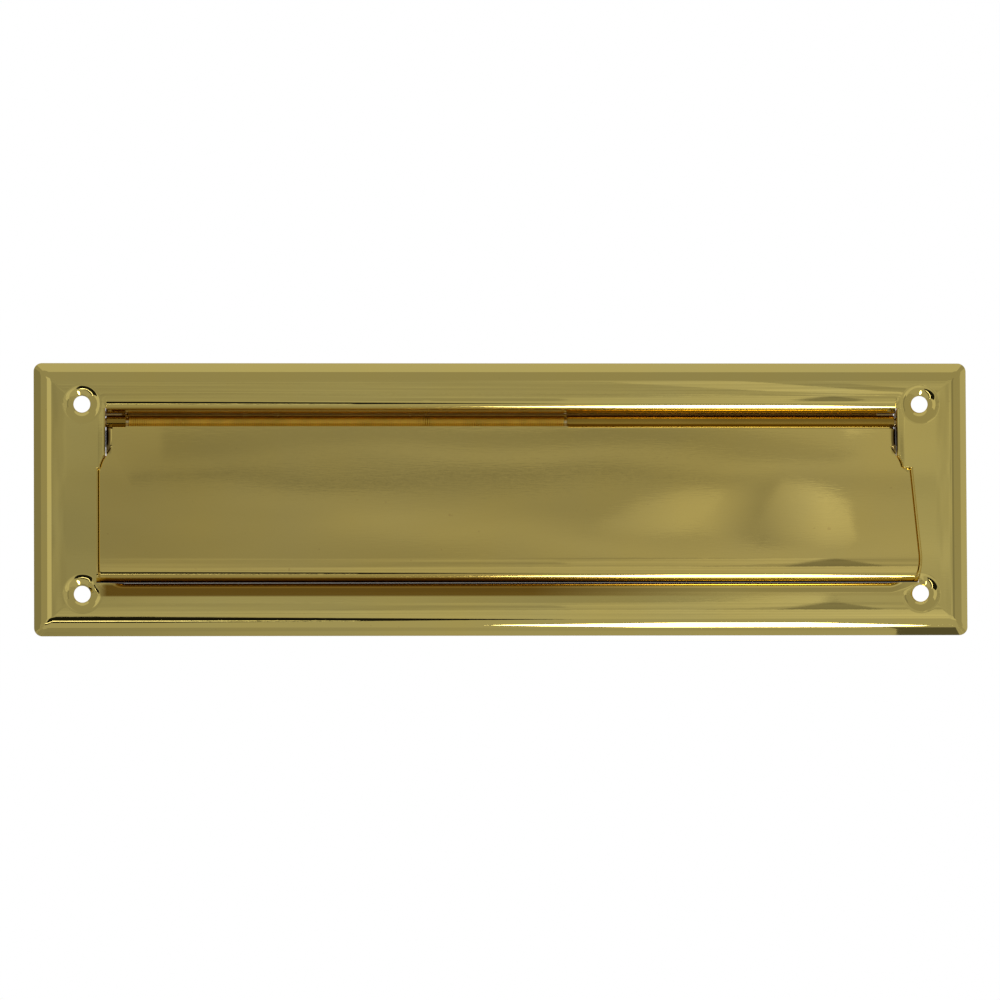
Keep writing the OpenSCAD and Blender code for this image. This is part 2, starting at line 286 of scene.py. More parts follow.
def fill(outer, holes, lines=()):
    """Triangles inside the outer loop and outside the holes, through extra lines of points."""
    points, edges = [], []
    for loop in [outer, *holes]:
        start = len(points)
        points += [tuple(p) for p in loop]
        edges += [(start + k, start + (k + 1) % len(loop)) for k in range(len(loop))]
    for line in lines:
        start = len(points)
        points += [tuple(p) for p in line]
        edges += [(start + k, start + k + 1) for k in range(len(line) - 1)]
    found = delaunay_2d_cdt([Vector(p) for p in points], edges, [], 0, 1e-5, True)
    verts = np.array([points[o[0]] if o else tuple(v) for v, o in zip(found[0], found[3])])
    faces = np.array([f for f in found[2] if len(f) == 3])
    middles = verts[faces].mean(1)
    keep = inside(middles, np.array(outer))
    for hole in holes:
        keep &= ~inside(middles, np.array(hole))
    faces = faces[keep]
    a, b, c = verts[faces[:, 0]], verts[faces[:, 1]], verts[faces[:, 2]]
    area = (b - a)[:, 0] * (c - a)[:, 1] - (b - a)[:, 1] * (c - a)[:, 0]
    faces = [tuple(f) if s > 0 else tuple(f[::-1]) for f, s in zip(faces, area)
             if abs(s) > 1e-9]
    used = sorted({i for f in faces for i in f})
    place = {v: k for k, v in enumerate(used)}
    return verts[used], [tuple(place[i] for i in f) for f in faces]


def lift(flat, surface):
    """Points of a flat layout on a formed surface(u, v), and the way they face."""
    u, v = flat[:, 0], flat[:, 1]
    h = 0.002
    along = surface(u + h, v) - surface(u - h, v)
    up = surface(u, v + h) - surface(u, v - h)
    return surface(u, v), np.cross(along, up)


def arc(centre, r, start, end, steps):
    """Points on an arc in a plane, both ends included."""
    a = np.linspace(start, end, steps + 1)
    return pair(centre[0] + r * np.cos(a), centre[1] + r * np.sin(a))


def bent(start, direction, r, tail, lead_a=0.0, steps=20):
    """A quarter bend's section from (y, z), turning towards +Z or -Z, with a straight tail.

    The face already leans by lead_a where the bend starts. Returns points and normals."""
    a = np.linspace(lead_a, pi / 2, steps + 1)
    y = start[0] + r * (cos(lead_a) - np.cos(a))
    z = start[1] + direction * r * (np.sin(a) - sin(lead_a))
    back = np.linspace(0, tail, 4)[1:]
    y, z = np.append(y, y[-1] + back), np.append(z, [z[-1]] * 3)
    a = np.append(a, [pi / 2] * 3)
    return pair(y, z), pair(-np.cos(a), direction * np.sin(a))


def sweep(section, normals, xs):
    """A grid from a section (y, z) at each x."""
    points = np.zeros((len(section), len(xs), 3))
    facing = np.zeros_like(points)
    points[:, :, 0] = xs
    points[:, :, 1:] = section[:, None]
    facing[:, :, 1:] = normals[:, None]
    return points, facing


# ---- Front plate

def edge_x(side, z):
    """Distance from the middle of the opening's side edge, which bulges on the right."""
    near = [np.interp(np.asarray(z) + k, EDGE_ZS, EDGE_XS[side]) for k in (-2, -1, 0, 1, 2)]
    return np.mean(near, axis=0)


def shoulder(t):
    """The flap's shoulder, from the neck (t = 0) to the wide part (t = 1)."""
    x = NECK_X + SHOULDER_W * (1 - np.cos(pi * t)) / 2
    z = NECK_FOOT_Z + (WIDE_TOP_Z - NECK_FOOT_Z) * t
    return np.stack([x, z], -1)


def spread(a, b, step):
    """Points from a to b about a step apart, without b."""
    a, b = np.array(a, float), np.array(b, float)
    n = max(int(np.linalg.norm(b - a) / step), 1)
    return a + (b - a) * np.linspace(0, 1, n, endpoint=False)[:, None]


LIP_XS = np.linspace(-LIP_END_X, LIP_END_X, 97)
EAR_ZS = np.linspace(EAR_FOOT_Z, EAR_TOP_Z, 13)
CORNER_AS = np.linspace(0, pi / 2, 17)


def sill_centre(side):
    """Where the lower lip's corner starts to turn."""
    return EDGE_XS[side][0] - LIP_CORNER_W


def sill_line(side):
    """The lower lip's bend line on one side, from the corner's end to the middle."""
    centre = sill_centre(side)
    power = LIP_CORNER_P[side]
    a = CORNER_AS[::-1]
    corner = pair(centre + LIP_CORNER_W * np.sin(a) ** power,
                  LIP_FOOT_Z - LIP_FOOT_R * np.abs(np.cos(a)) ** power)
    run = pair(np.linspace(centre, 0, 25), np.full(25, SILL_LINE_Z))
    return np.vstack([corner[:-1], run])


def half_opening(side):
    """The opening's outline on one side, from the top's middle round to the foot's."""
    top = [(x, LIP_LINE_Z) for x in LIP_XS if x >= 0]
    notch_x, notch_z = EAR_X - RELIEF_W, EAR_TOP_Z + RELIEF_H
    notch = [(notch_x, LIP_LINE_Z), (notch_x, notch_z + 0.3), (EAR_X + 0.1, notch_z),
             (EAR_BEND_X, notch_z)]
    ear_line = [(EAR_BEND_X, z) for z in EAR_ZS[::-1]]
    tab = shoulder(np.linspace(0.66, 0.9, 9)) + [TAB_GAP, 0]
    tab_end = (NECK_X + SHOULDER_W + TAB_GAP, TAB_FOOT_Z)
    tab_foot = spread(tab_end, (edge_x(side, TAB_FOOT_Z), TAB_FOOT_Z), 1)
    zs = np.linspace(TAB_FOOT_Z, LIP_FOOT_Z, 80)
    edge = pair(edge_x(side, zs), zs)
    edge[-1, 0] = EDGE_XS[side][0]
    parts = [top, notch, ear_line, tab, tab_foot, edge[:-1], sill_line(side)]
    loop = np.vstack([np.array(p, float) for p in parts])
    return loop * [side, 1]


def opening():
    """The whole outline of the opening."""
    return np.vstack([half_opening(1)[:-1], half_opening(-1)[::-1][:-1]])


def corner_r(inset):
    """The radius of the plate's corners, which get sharper inwards."""
    return np.maximum(CORNER_R - CORNER_SHARPEN * inset, 0.5)


def ring_loop(inset):
    """The plate's outline, set in by inset."""
    r = corner_r(inset)
    half_w, half_h = HALF_W - inset - r, HALF_H - inset - r
    corners = [(half_w, half_h, 0), (-half_w, half_h, 1), (-half_w, -half_h, 2),
               (half_w, -half_h, 3)]
    return np.vstack([arc((x, z), r, k * pi / 2, (k + 1) * pi / 2, 14)
                      for x, z, k in corners])


def inset_of(x, z):
    """How far in from the plate's outline a point lies, found by halving."""
    low, high = np.full(np.shape(x), -1.0), np.full(np.shape(x), 12.0)
    for _ in range(30):
        d = (low + high) / 2
        r = corner_r(d)
        u, v = np.abs(x) - (HALF_W - d - r), np.abs(z) - (HALF_H - d - r)
        reach = np.hypot(np.maximum(u, 0), np.maximum(v, 0)) + np.minimum(np.maximum(u, v), 0)
        outside = reach > r
        high, low = np.where(outside, d, high), np.where(outside, low, d)
    return (low + high) / 2


def lead_fall(s, lead, lead_a):
    """Depth below a flat face at s past the start of a faint crown that leads to a bend."""
    return tan(lead_a) * np.clip(s, 0, lead) ** 2 / (2 * lead)


def soft_fall(s, angle, r, lead_a):
    """Depth at s past the start of a bend of radius r from lead_a to a steeper angle."""
    run = r * (sin(angle) - sin(lead_a))
    on_arc = np.clip(s, 0, run)
    bend = r * cos(lead_a) - np.sqrt(r * r - (r * sin(lead_a) + on_arc) ** 2)
    return bend + np.maximum(s - run, 0) * tan(angle)


LEAD_FALL = float(lead_fall(LEAD, LEAD, LEAD_A))
SLOPE_RISE = -FACE_Y - LEAD_FALL - SLOPE_R * (cos(LEAD_A) - cos(SLOPE_A))
SLOPE_W = SLOPE_RISE / tan(SLOPE_A)
SLOPE_START = SLOPE_W + SLOPE_R * (sin(SLOPE_A) - sin(LEAD_A))


def dimple_depth(x, z):
    """Depth of the rounded dimples, which fade out beside the lower lip's corners."""
    rho = np.hypot(np.abs(x) - HOLE_X, np.abs(z) - HOLE_Z)
    t = np.clip((DIMPLE_R - rho) / (DIMPLE_R - HOLE_R), 0, 1.2)
    gap = np.full(np.shape(x), 99.0)
    for side in (-1, 1):
        for corner_x, corner_z in sill_line(side)[:len(CORNER_AS)]:
            gap = np.minimum(gap, np.hypot(x - side * corner_x, z - corner_z))
    near = np.clip(gap / DIMPLE_FADE, 0, 1)
    return DIMPLE_FALL * t ** 2 * smooth(near)


def plate_surface(x, z):
    """The plate's front face: flat, sloping at the edge, dimpled at the holes."""
    inset = inset_of(x, z)
    y = FACE_Y + lead_fall(SLOPE_START + LEAD - inset, LEAD, LEAD_A)
    y = y + soft_fall(SLOPE_START - inset, SLOPE_A, SLOPE_R, LEAD_A)
    past_lip = np.clip((np.abs(x) - LIP_END_X) / LIP_FADE, 0, 1)
    over_lip = np.where(z > 0, LIP_LINE_Z + LIP_LEAD - z, -1)
    y = y + (1 - smooth(past_lip)) * lead_fall(over_lip, LIP_LEAD, LEAD_A)
    return np.stack([x, y + dimple_depth(x, z), z], -1)


def dimple_lines(cut):
    """Rings of points round the four holes, broken where the opening cuts them."""
    lines = []
    for centre in HOLES:
        for r in np.linspace(HOLE_R + 0.4, DIMPLE_R + 0.3, 15):
            ring = arc(centre, r, 0, 2 * pi, CIRCLE_STEPS)
            gap = np.min(np.linalg.norm(ring[:, None] - cut[None], axis=2), axis=1)
            free = ~inside(ring, cut) & (gap > 0.2)
            for run in np.split(np.arange(len(ring)), np.flatnonzero(~free)):
                run = [k for k in run if free[k]]
                if len(run) > 1:
                    lines.append(ring[run])
    return lines


def plate_face():
    """The pressed face of the front plate, with the opening and the holes cut."""
    cut = opening()
    holes = [arc(centre, HOLE_R + EDGE_R, 0, 2 * pi, CIRCLE_STEPS)[:-1] for centre in HOLES]
    leads = np.linspace(SLOPE_START, SLOPE_START + LEAD, 8)[1:]
    insets = [SLOPE_W / 2, *np.linspace(SLOPE_W, SLOPE_START, 14), *leads]
    rings = [np.vstack([ring_loop(d), ring_loop(d)[:1]]) for d in insets]
    outer = ring_loop(EDGE_R)
    over_lip = [pair(LIP_XS, np.full(len(LIP_XS), LIP_LINE_Z + h))
                for h in np.linspace(0.5, LIP_LEAD, 6)]
    lip_ends = [pair(np.full(19, side * (LIP_END_X + LIP_FADE * share)),
                     np.linspace(TAB_FOOT_Z, LIP_LINE_Z + LIP_LEAD, 19))
                for side in (-1, 1) for share in (0.5, 0.75, 1)]
    flat, faces = fill(outer, [cut, *holes],
                       rings + over_lip + lip_ends + dimple_lines(cut))
    skin = Skin()
    skin.add(*lift(flat, plate_surface), faces)
    return skin


def upper_lip():
    """The upper lip: a bend, a level shelf and a hem turned down at its back.

    The hem turns only half as far at the ends, where the open flap's neck comes up."""
    start_y = FACE_Y + float(lead_fall(LIP_LEAD, LIP_LEAD, LEAD_A))
    shelf_y = start_y + LIP_TOP_R * cos(LEAD_A)
    section, normals = bent((start_y, LIP_LINE_Z), -1, LIP_TOP_R,
                            LIP_REACH - shelf_y - HEM_R - HEM_BACK, LEAD_A)
    a = np.linspace(0, HEM_A, HEM_STEPS)
    hem = pair(section[-1, 0] + HEM_R * np.sin(a),
               LIP_TOP_Z - HEM_R * (1 - np.cos(a)))
    hem_normals = pair(-np.sin(a), -np.cos(a))
    section = np.vstack([section, hem[1:HEM_PART]])
    normals = np.vstack([normals, hem_normals[1:HEM_PART]])
    rest, rest_normals = hem[HEM_PART - 1:], hem_normals[HEM_PART - 1:]
    skin = Skin()
    skin.add_grid(*sweep(section, normals, LIP_XS))
    skin.add_grid(*sweep(rest, rest_normals, LIP_XS[np.abs(LIP_XS) < HEM_END_X]))
    return skin


def lower_lip():
    """The lower lip: a straight bend whose ends run round the opening's corners."""
    section, normals = bent((FACE_Y, SILL_LINE_Z), 1, LIP_FOOT_R,
                            SILL_BACK_Y - FACE_Y - LIP_FOOT_R)
    xs = np.concatenate([-np.linspace(sill_centre(-1), 0, 25),
                         np.linspace(0, sill_centre(1), 25)[1:]])
    skin = Skin()
    skin.add_grid(*sweep(section, normals, xs))
    for side in (-1, 1):
        turn = np.linspace(0, pi / 2, 19)[:-1]
        power = LIP_CORNER_P[side]
        shrink = 1 - np.sin(turn)[:, None]
        sin_a, cos_a = np.sin(CORNER_AS)[None], np.abs(np.cos(CORNER_AS))[None]
        along, down = sin_a ** power, cos_a ** power
        points = np.zeros((len(turn), len(CORNER_AS), 3))
        points[:, :, 0] = side * (sill_centre(side) + LIP_CORNER_W * along * shrink)
        points[:, :, 1] = (FACE_Y + LIP_FOOT_R * (1 - np.cos(turn)))[:, None]
        points[:, :, 2] = LIP_FOOT_Z - LIP_FOOT_R * down * shrink
        slope_x, slope_z = sin_a ** (2 - power) / LIP_CORNER_W, cos_a ** (2 - power) / LIP_FOOT_R
        outward = unit(np.stack([side * slope_x, np.zeros_like(sin_a), -slope_z], -1))
        facing = -outward * np.sin(turn)[:, None, None]
        facing = facing + np.array([0, -1, 0]) * np.cos(turn)[:, None, None]
        skin.add_grid(points, facing)
        front = points[:, -1]
        back = np.linspace(0, 1, 4)[None, :] * (SILL_BACK_Y - front[:, 1:2])
        shelf = np.repeat(front[:, None], 4, axis=1)
        shelf[:, :, 1] += back
        skin.add_grid(shelf, np.tile([0.0, 0, 1], (*shelf.shape[:2], 1)))
    return skin


def right_ear():
    """One ear: bent back from the face, with a bored lug for the rod."""
    a = np.linspace(0, pi / 2, 9)[:, None]
    points = np.zeros((len(a), len(EAR_ZS), 3))
    points[:, :, 0] = EAR_BEND_X - EAR_R * np.sin(a)
    points[:, :, 1] = FACE_Y + EAR_R * (1 - np.cos(a))
    points[:, :, 2] = EAR_ZS
    facing = np.zeros_like(points)
    facing[:, :, 0] = -np.sin(a)
    facing[:, :, 1] = -np.cos(a)
    skin = Skin()
    skin.add_grid(points, facing)
    bend_y = FACE_Y + EAR_R
    line = pair(np.full(len(EAR_ZS), bend_y), EAR_ZS)[::-1]
    lug = arc((HINGE_Y, HINGE_Z), LUG_R, radians(-28), radians(80), 20)
    foot = np.array([[bend_y + 1.0, EAR_FOOT_Z]])
    outline = np.vstack([line, foot, lug]) * [-1, 1]
    bore = arc((-HINGE_Y, HINGE_Z), ROD_R + 0.2, 0, 2 * pi, 40)[:-1]
    flat, faces = fill(outline, [bore])
    at_x = np.full(len(flat), EAR_X)
    skin.add(np.stack([at_x, -flat[:, 0], flat[:, 1]], 1),
             np.tile([-1.0, 0, 0], (len(flat), 1)), faces)
    return skin


def front_plate(material):
    """The pressed plate with its lips and ears, as one sheet."""
    skin = plate_face()
    skin.take(upper_lip())
    skin.take(lower_lip())
    skin.take(right_ear())
    skin.take(right_ear().mirrored())
    plate = make_piece("brass_plate", *thicken(skin, PLATE_SHEET), material)
    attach(plate, "plate")
    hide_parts("front_plate")


# ---- Flap

NECK_END_T = 0.24
NECK_ZS = np.concatenate([NECK_FOOT_Z + (WIDE_TOP_Z - NECK_FOOT_Z) * np.linspace(NECK_END_T, 0, 7),
                          np.linspace(NECK_FOOT_Z, TOP_LINE_Z, 7)[1:]])
SIDE_ZS = np.linspace(WIDE_TOP_Z - 0.1, FOOT_LINE_Z + 0.25, 60)
ROLL_ROWS = FOOT_LINE_Z - np.concatenate([np.linspace(-LEAD, 0, 7)[:-1],
                                          np.linspace(0, FOOT_ARC, 24),
                                          FOOT_ARC + np.linspace(0, FOOT_RETURN, 4)[1:]])


def raised_x(side, z):
    """Where the flap's raised face ends, just inside the opening's side edge."""
    return edge_x(side, z) - FLAP_GAP


def neck_line(z):
    """The x of the line along the neck's edge where the sheet starts to bend back."""
    t = np.clip((NECK_FOOT_Z - z) / (NECK_FOOT_Z - WIDE_TOP_Z), 0, 1)
    return shoulder(t)[..., 0]


def raised_depth(x, z):
    """How far inside the edge of the flap's raised face a point lies."""
    wide_x = np.where(x < 0, raised_x(-1, z), raised_x(1, z))
    drop = np.clip((FOOT_LINE_Z + FOOT_CORNER_UP - z) / FOOT_CORNER_H, 0, 1)
    wide_x = wide_x - FOOT_CORNER_W * (1 - np.sqrt(1 - drop ** 2))
    wide = np.minimum(WIDE_TOP_Z - z, wide_x - np.abs(x))
    neck = neck_line(z) - np.abs(x)
    return np.where(z > WIDE_TOP_Z, neck, np.maximum(wide, neck - NECK_INSET))


def flap_surface(x, s):
    """The flap's front, laid out flat: s is z on the face and runs on round the foot.

    The face is raised in the opening and steps back to the margins behind the plate."""
    lead = lead_fall(FOOT_LINE_Z + LEAD - s, LEAD, LEAD_A)
    turn = LEAD_A + np.clip((FOOT_LINE_Z - s) / FOOT_R, 0, pi / 2 - LEAD_A)
    tail = np.maximum(FOOT_LINE_Z - s - FOOT_ARC, 0)
    y = FLAP_Y + lead + FOOT_R * (cos(LEAD_A) - np.cos(turn)) + tail
    on_roll = FOOT_LINE_Z - FOOT_R * (np.sin(turn) - sin(LEAD_A))
    z = np.where(s > FOOT_LINE_Z, s, on_roll)
    t = np.clip(1 - raised_depth(x, s) / STEP_W, 0, 1)
    below_neck = np.clip((NECK_ZS[0] - s) / STEP_FADE, 0, 1)
    before_roll = np.clip(1 - (turn - LEAD_A) / STEP_END_A, 0, 1)
    step = STEP_BACK * smooth(t) * smooth(below_neck) * before_roll
    return np.stack([x, y + step * np.cos(turn), z + step * np.sin(turn)], -1)


def half_flap_side(side):
    """The flap's outline on one side, from the neck's top down to the foot's back edge."""
    neck = pair(neck_line(NECK_ZS), NECK_ZS)[::-1]
    out_x = float(raised_x(side, EDGE_LOW_Z)) + FLAP_GAP + MARGIN_REACH
    flange = [(FLANGE_X, NECK_ZS[0] + 0.02), (FLANGE_X, MARGIN_TOP_Z + 0.3)]
    round_x = out_x - MARGIN_R
    top = spread((FLANGE_X + 0.05, MARGIN_TOP_Z), (round_x, MARGIN_TOP_Z), 0.3)
    upper = arc((round_x, MARGIN_TOP_Z - MARGIN_R), MARGIN_R, pi / 2, 0, 8)
    lower = arc((round_x, FOOT_LINE_Z + 1.4), MARGIN_R, 0, -pi / 2, 8)
    margin_foot = [(float(edge_x(side, FOOT_LINE_Z)) - ROLL_GAP, FOOT_LINE_Z - 0.6)]
    rows = ROLL_ROWS[ROLL_ROWS < FOOT_LINE_Z - 0.7]
    z = flap_surface(np.zeros_like(rows), rows)[:, 2]
    ends = pair(edge_x(side, z) - ROLL_GAP, rows)
    loop = np.vstack([neck, flange, top, upper, lower, margin_foot, ends])
    return loop * [side, 1]


def barrel_spans():
    """The two stretches of the hinge where the flap is curled round the rod."""
    return [(-NECK_X, COIL_X0 - COIL_GAP, 5), (COIL_X1 + COIL_GAP, NECK_X, 60)]


def flap_face():
    """The flap's face with its side margins, the roll along its foot and the return."""
    (left0, left1, left_n), (right0, right1, right_n) = barrel_spans()
    right_top = [(x, TOP_LINE_Z) for x in np.linspace(right0, right1, right_n)[:-1]]
    left_top = [(x, TOP_LINE_Z) for x in np.linspace(left0, left1, left_n)[1:]]
    coil_top = [(left1, FLAP_TOP_Z), (right0, FLAP_TOP_Z)]
    right_side, left_side = half_flap_side(1), half_flap_side(-1)[::-1]
    foot = spread(right_side[-1], left_side[0], 4)[1:]
    outline = np.vstack([right_top, right_side, foot, left_side, left_top, coil_top])
    lines = []
    for side in (-1, 1):
        for k in np.linspace(-STEP_W - 0.1, 0.3, 15):
            xs = raised_x(side, SIDE_ZS) + k
            lines.append(pair(side * xs, SIDE_ZS))
        t = np.linspace(0.12, 0.93, 18)
        for k in np.linspace(-STEP_W, 0.1, 9):
            lines.append((shoulder(t) + [k, 0]) * [side, 1])
    for row in ROLL_ROWS[:-1]:
        z = flap_surface(np.zeros(1), np.array([row]))[0, 2]
        ends = {side: float(edge_x(side, z)) - (0.5 if row < FOOT_LINE_Z - 0.5 else 2)
                for side in (-1, 1)}
        left = -np.linspace(ends[-1], ends[-1] - 5, 22)
        right = np.linspace(ends[1] - 5, ends[1], 22)
        xs = np.concatenate([left, np.linspace(left[-1], right[0], 60)[1:-1], right])
        lines.append(pair(xs, np.full(len(xs), row)))
    flat, faces = fill(outline, [], lines)
    skin = Skin()
    skin.add(*lift(flat, flap_surface), faces)
    return skin


def barrels():
    """The flap's top edge, bent back and curled up round the rod."""
    section, normals = bent((FLAP_Y, TOP_LINE_Z), 1, TOP_R, HINGE_Y - FLAP_Y - TOP_R, steps=8)
    inner = BARREL_R - FLAP_SHEET
    a = np.linspace(-pi / 2, CURL_END, 65)[1:]
    curl = pair(HINGE_Y + inner * np.cos(a), HINGE_Z + inner * np.sin(a))
    section = np.vstack([section, curl])
    normals = np.vstack([normals, -pair(np.cos(a), np.sin(a))])
    skin = Skin()
    past_neck = -len(curl) - 1
    for side in (-1, 1):
        ends = np.linspace(side * NECK_X, side * BARREL_END_X, 3)
        skin.add_grid(*sweep(section[past_neck:], normals[past_neck:], ends))
    for x0, x1, n in barrel_spans():
        skin.add_grid(*sweep(section, normals, np.linspace(x0, x1, n)))
    return skin


def right_neck_roll():
    """The neck's edge, rolled back beside the ear and running out into the shoulder."""
    a = np.linspace(0, pi / 2, 11)[:, None]
    line = neck_line(NECK_ZS)[None]
    r = NECK_X + NECK_R - line
    back = np.linspace(FLAP_Y + NECK_R, NECK_RETURN_Y, 4)[1:, None]
    turned = len(a)
    points = np.zeros((turned + len(back), len(NECK_ZS), 3))
    facing = np.zeros_like(points)
    points[:turned, :, 0] = line + r * np.sin(a)
    points[:turned, :, 1] = FLAP_Y + r * (1 - np.cos(a))
    points[turned:, :, 0] = NECK_X + NECK_R
    points[turned:, :, 1] = back
    points[:, :, 2] = NECK_ZS
    facing[:turned, :, 0] = np.sin(a)
    facing[:turned, :, 1] = -np.cos(a)
    facing[turned:, :, 0] = 1
    skin = Skin()
    skin.add_grid(points, facing)
    return skin


def flap(material):
    """The pressed flap with its barrels and rolled neck, as one sheet."""
    skin = flap_face()
    skin.take(barrels())
    skin.take(right_neck_roll())
    skin.take(right_neck_roll().mirrored())
    piece = make_piece("brass_flap", *thicken(skin, FLAP_SHEET, 0.12), material)
    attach(piece, "flap")
    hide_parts("flap")


# ---- Rod, spring and push nuts

def lathe_x(profile):
    """A turned part about the hinge axis, from (x, radius) points from end to end."""
    profile = np.array(profile, float)
    run = np.gradient(profile, axis=0)
    skin = Skin()
    a = np.linspace(0, 2 * pi, 65)
    ring = np.stack([np.zeros_like(a), np.cos(a), np.sin(a)], 1)
    points = profile[:, 1][:, None, None] * ring[None]
    points[:, :, 0] = profile[:, 0][:, None]
    facing = run[:, 0][:, None, None] * ring[None]
    facing[:, :, 0] = -run[:, 1][:, None]
    skin.add_grid(points + [0, HINGE_Y, HINGE_Z], facing)
    return skin


def hinge_rod(material):
    """The rod, with softly chamfered ends."""
    end, r = ROD_HIGH[0], ROD_R
    chamfer = 0.3
    tip = [(0.0, 0.02), (0.0, 0.6), (0.0, r - chamfer - 0.1), (0.04, r - chamfer),
           (chamfer - 0.04, r - 0.03), (chamfer + 0.1, r), (chamfer + 0.6, r)]
    profile = [(x - end, rho) for x, rho in tip] + [(end - x, rho) for x, rho in tip[::-1]]
    points, normals, faces = lathe_x(profile).welded()
    rod = make_piece("steel_rod", points, normals, faces, material)
    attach(rod, "plate")
    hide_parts("hinge_rod")


def spring_path():
    """The spring's wire: a leg under the upper lip, the coil, and a leg down the flap."""
    r = BARREL_R - WIRE_D / 2
    x0, x1 = COIL_X0 + WIRE_D, COIL_X1 - WIRE_D
    lip_y = LIP_REACH - LEG_SHORT
    lip_z = LIP_TOP_Z - WIRE_D / 2 - WIRE_GAP
    steps = int(TURNS * TURN_STEPS)
    a = pi / 2 - np.linspace(0, 1, steps + 1) * 2 * pi * TURNS
    x = np.linspace(x0, x1, steps + 1)
    coil = np.stack([x, HINGE_Y + r * np.cos(a), HINGE_Z + r * np.sin(a)], 1)
    start = np.array([x0, lip_y, lip_z])
    lead = start + (coil[0] - start) * np.linspace(0, 1, 6)[:-1, None]
    flap_y = FLAP_Y + FLAP_SHEET + WIRE_D / 2 + WIRE_GAP
    end = np.array([x1, flap_y, HINGE_Z - SPRING_LEG])
    tail = coil[-1] + (end - coil[-1]) * np.linspace(0, 1, 8)[1:, None]
    return np.vstack([lead, coil, tail])


def tube(path, r, sides):
    """A closed tube along a path, with round ends."""
    along = unit(np.gradient(path, axis=0))
    side = unit(np.cross(along, [1.0, 0.12, 0.07]))
    up = np.cross(along, side)
    a = np.linspace(0, 2 * pi, sides + 1)[:-1]
    ring = side[:, None] * np.cos(a)[:, None] + up[:, None] * np.sin(a)[:, None]
    points = (path[:, None] + r * ring).reshape(-1, 3)
    normals = ring.reshape(-1, 3)
    top = (len(path) - 1) * sides
    pairs = [(j, (j + 1) % sides) for j in range(sides)]
    faces = [(k + a, k + b, k + b + sides, k + a + sides)
             for k in range(0, top, sides) for a, b in pairs]
    tips = np.array([path[0] - along[0] * r * 0.6, path[-1] + along[-1] * r * 0.6])
    first, last = len(points), len(points) + 1
    faces += [(first, b, a) for a, b in pairs]
    faces += [(last, top + a, top + b) for a, b in pairs]
    normals = np.vstack([normals, [-along[0], along[-1]]])
    return np.vstack([points, tips]), normals, faces


def spring(material):
    """The spring, made as one wire where it sits with the flap shut."""
    wire = make_piece("spring_coil", *tube(spring_path(), WIRE_D / 2 - 0.01, 10), material)
    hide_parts("torsion_spring")
    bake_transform(wire)


NUT_SHEET, NUT_TEETH = 0.4, 6


def push_nut(material, side):
    """A push-on nut: a ring whose teeth rise and grip the rod."""
    outer_r, root_r, grip_r = NUT_HIGH[2] - HINGE_Z, ROD_R + 0.65, ROD_R + 0.02
    base_x, rise = NUT_LOW[0] + 0.02, NUT_HIGH[0] - NUT_LOW[0] - NUT_SHEET
    outline = arc((0, 0), outer_r - 0.1, 0, 2 * pi, 60)[:-1]
    bore = []
    for a in np.arange(NUT_TEETH) * 2 * pi / NUT_TEETH:
        end = a + 2 * pi / NUT_TEETH
        bore += [arc((0, 0), grip_r + 0.1, a + 0.1, end - 0.1, 8),
                 arc((0, 0), root_r, end - 0.05, end + 0.05, 3)]
    rings = [arc((0, 0), r, 0, 2 * pi, 60) for r in (root_r + 0.1, root_r + 0.3)]
    flat, faces = fill(outline, [np.vstack(bore)], rings)

    def rise_at(u, v):
        t = np.clip((root_r + 0.15 - np.hypot(u, v)) / (root_r - grip_r), 0, 1)
        return np.stack([u, -0.9 * rise * smooth(t), v], -1)

    points, normals = lift(flat, rise_at)
    skin = Skin()
    turned = np.stack([base_x + NUT_SHEET - points[:, 1], HINGE_Y + points[:, 0],
                       HINGE_Z + points[:, 2]], 1)
    facing = np.stack([-normals[:, 1], normals[:, 0], normals[:, 2]], 1)
    skin.add(turned, facing, faces)
    if side < 0:
        skin = skin.mirrored()
    word = "left" if side < 0 else "right"
    nut = make_piece("push_nut_" + word, *thicken(skin, NUT_SHEET, 0.08), material)
    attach(nut, "plate")
    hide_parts("rod_retainer_" + word)


# ---- Materials

TARNISH = (0.62, 0.42, 0.12)
# Painted shade and painted brass-in-brass reflection for the recesses of the opening.
RECESS_SHADE_AMBER, DARK_RECESS_SHADE_AMBER = (0.54, 0.345, 0.055), (0.45, 0.28, 0.04)
# Painted shade on the lower lip's roll under the flap's foot.
SILL_SHADE_BROWN = (0.33, 0.18, 0.018)
BACK_BRASS = (0.80, 0.62, 0.25)
# Painted shade in the narrow gaps beside the ears.
EAR_GAP_SHADE_BROWN = (0.16, 0.10, 0.03)
WAVE_HEIGHT, LINE_HEIGHT = 0.12 * MM, 0.02 * MM


class Nodes:
    """A small helper that makes nodes in a material or world and links them."""

    def __init__(self, owner):
        owner.use_nodes = True
        self.tree = owner.node_tree
        self.tree.nodes.clear()

    def add(self, kind, **settings):
        """Makes a node. A setting is a property, an input's value, or what to link to it."""
        node = self.tree.nodes.new(kind)
        for key, value in settings.items():
            if hasattr(node, key):
                setattr(node, key, value)
            elif isinstance(value, bpy.types.NodeSocket):
                self.link(value, node.inputs[key.replace("_", " ")])
            else:
                node.inputs[key.replace("_", " ")].default_value = value
        return node

    def link(self, source, target):
        """Links an output to an input."""
        self.tree.links.new(source, target)


def coordinate(nodes, output, axis):
    """One axis (X, Y or Z) of a texture coordinate: Object, Normal or Generated."""
    place = nodes.add("ShaderNodeTexCoord")
    return nodes.add("ShaderNodeSeparateXYZ", Vector=place.outputs[output]).outputs[axis]


def noise(nodes, stretch, scale, detail=2.0, roughness=0.5):
    """Noise over the object's own coordinates, stretched by three factors."""
    place = nodes.add("ShaderNodeTexCoord")
    scaled = nodes.add("ShaderNodeMapping", Vector=place.outputs["Object"], Scale=stretch)
    return nodes.add("ShaderNodeTexNoise", Vector=scaled.outputs["Vector"], Scale=scale,
                     Detail=detail, Roughness=roughness).outputs["Fac"]


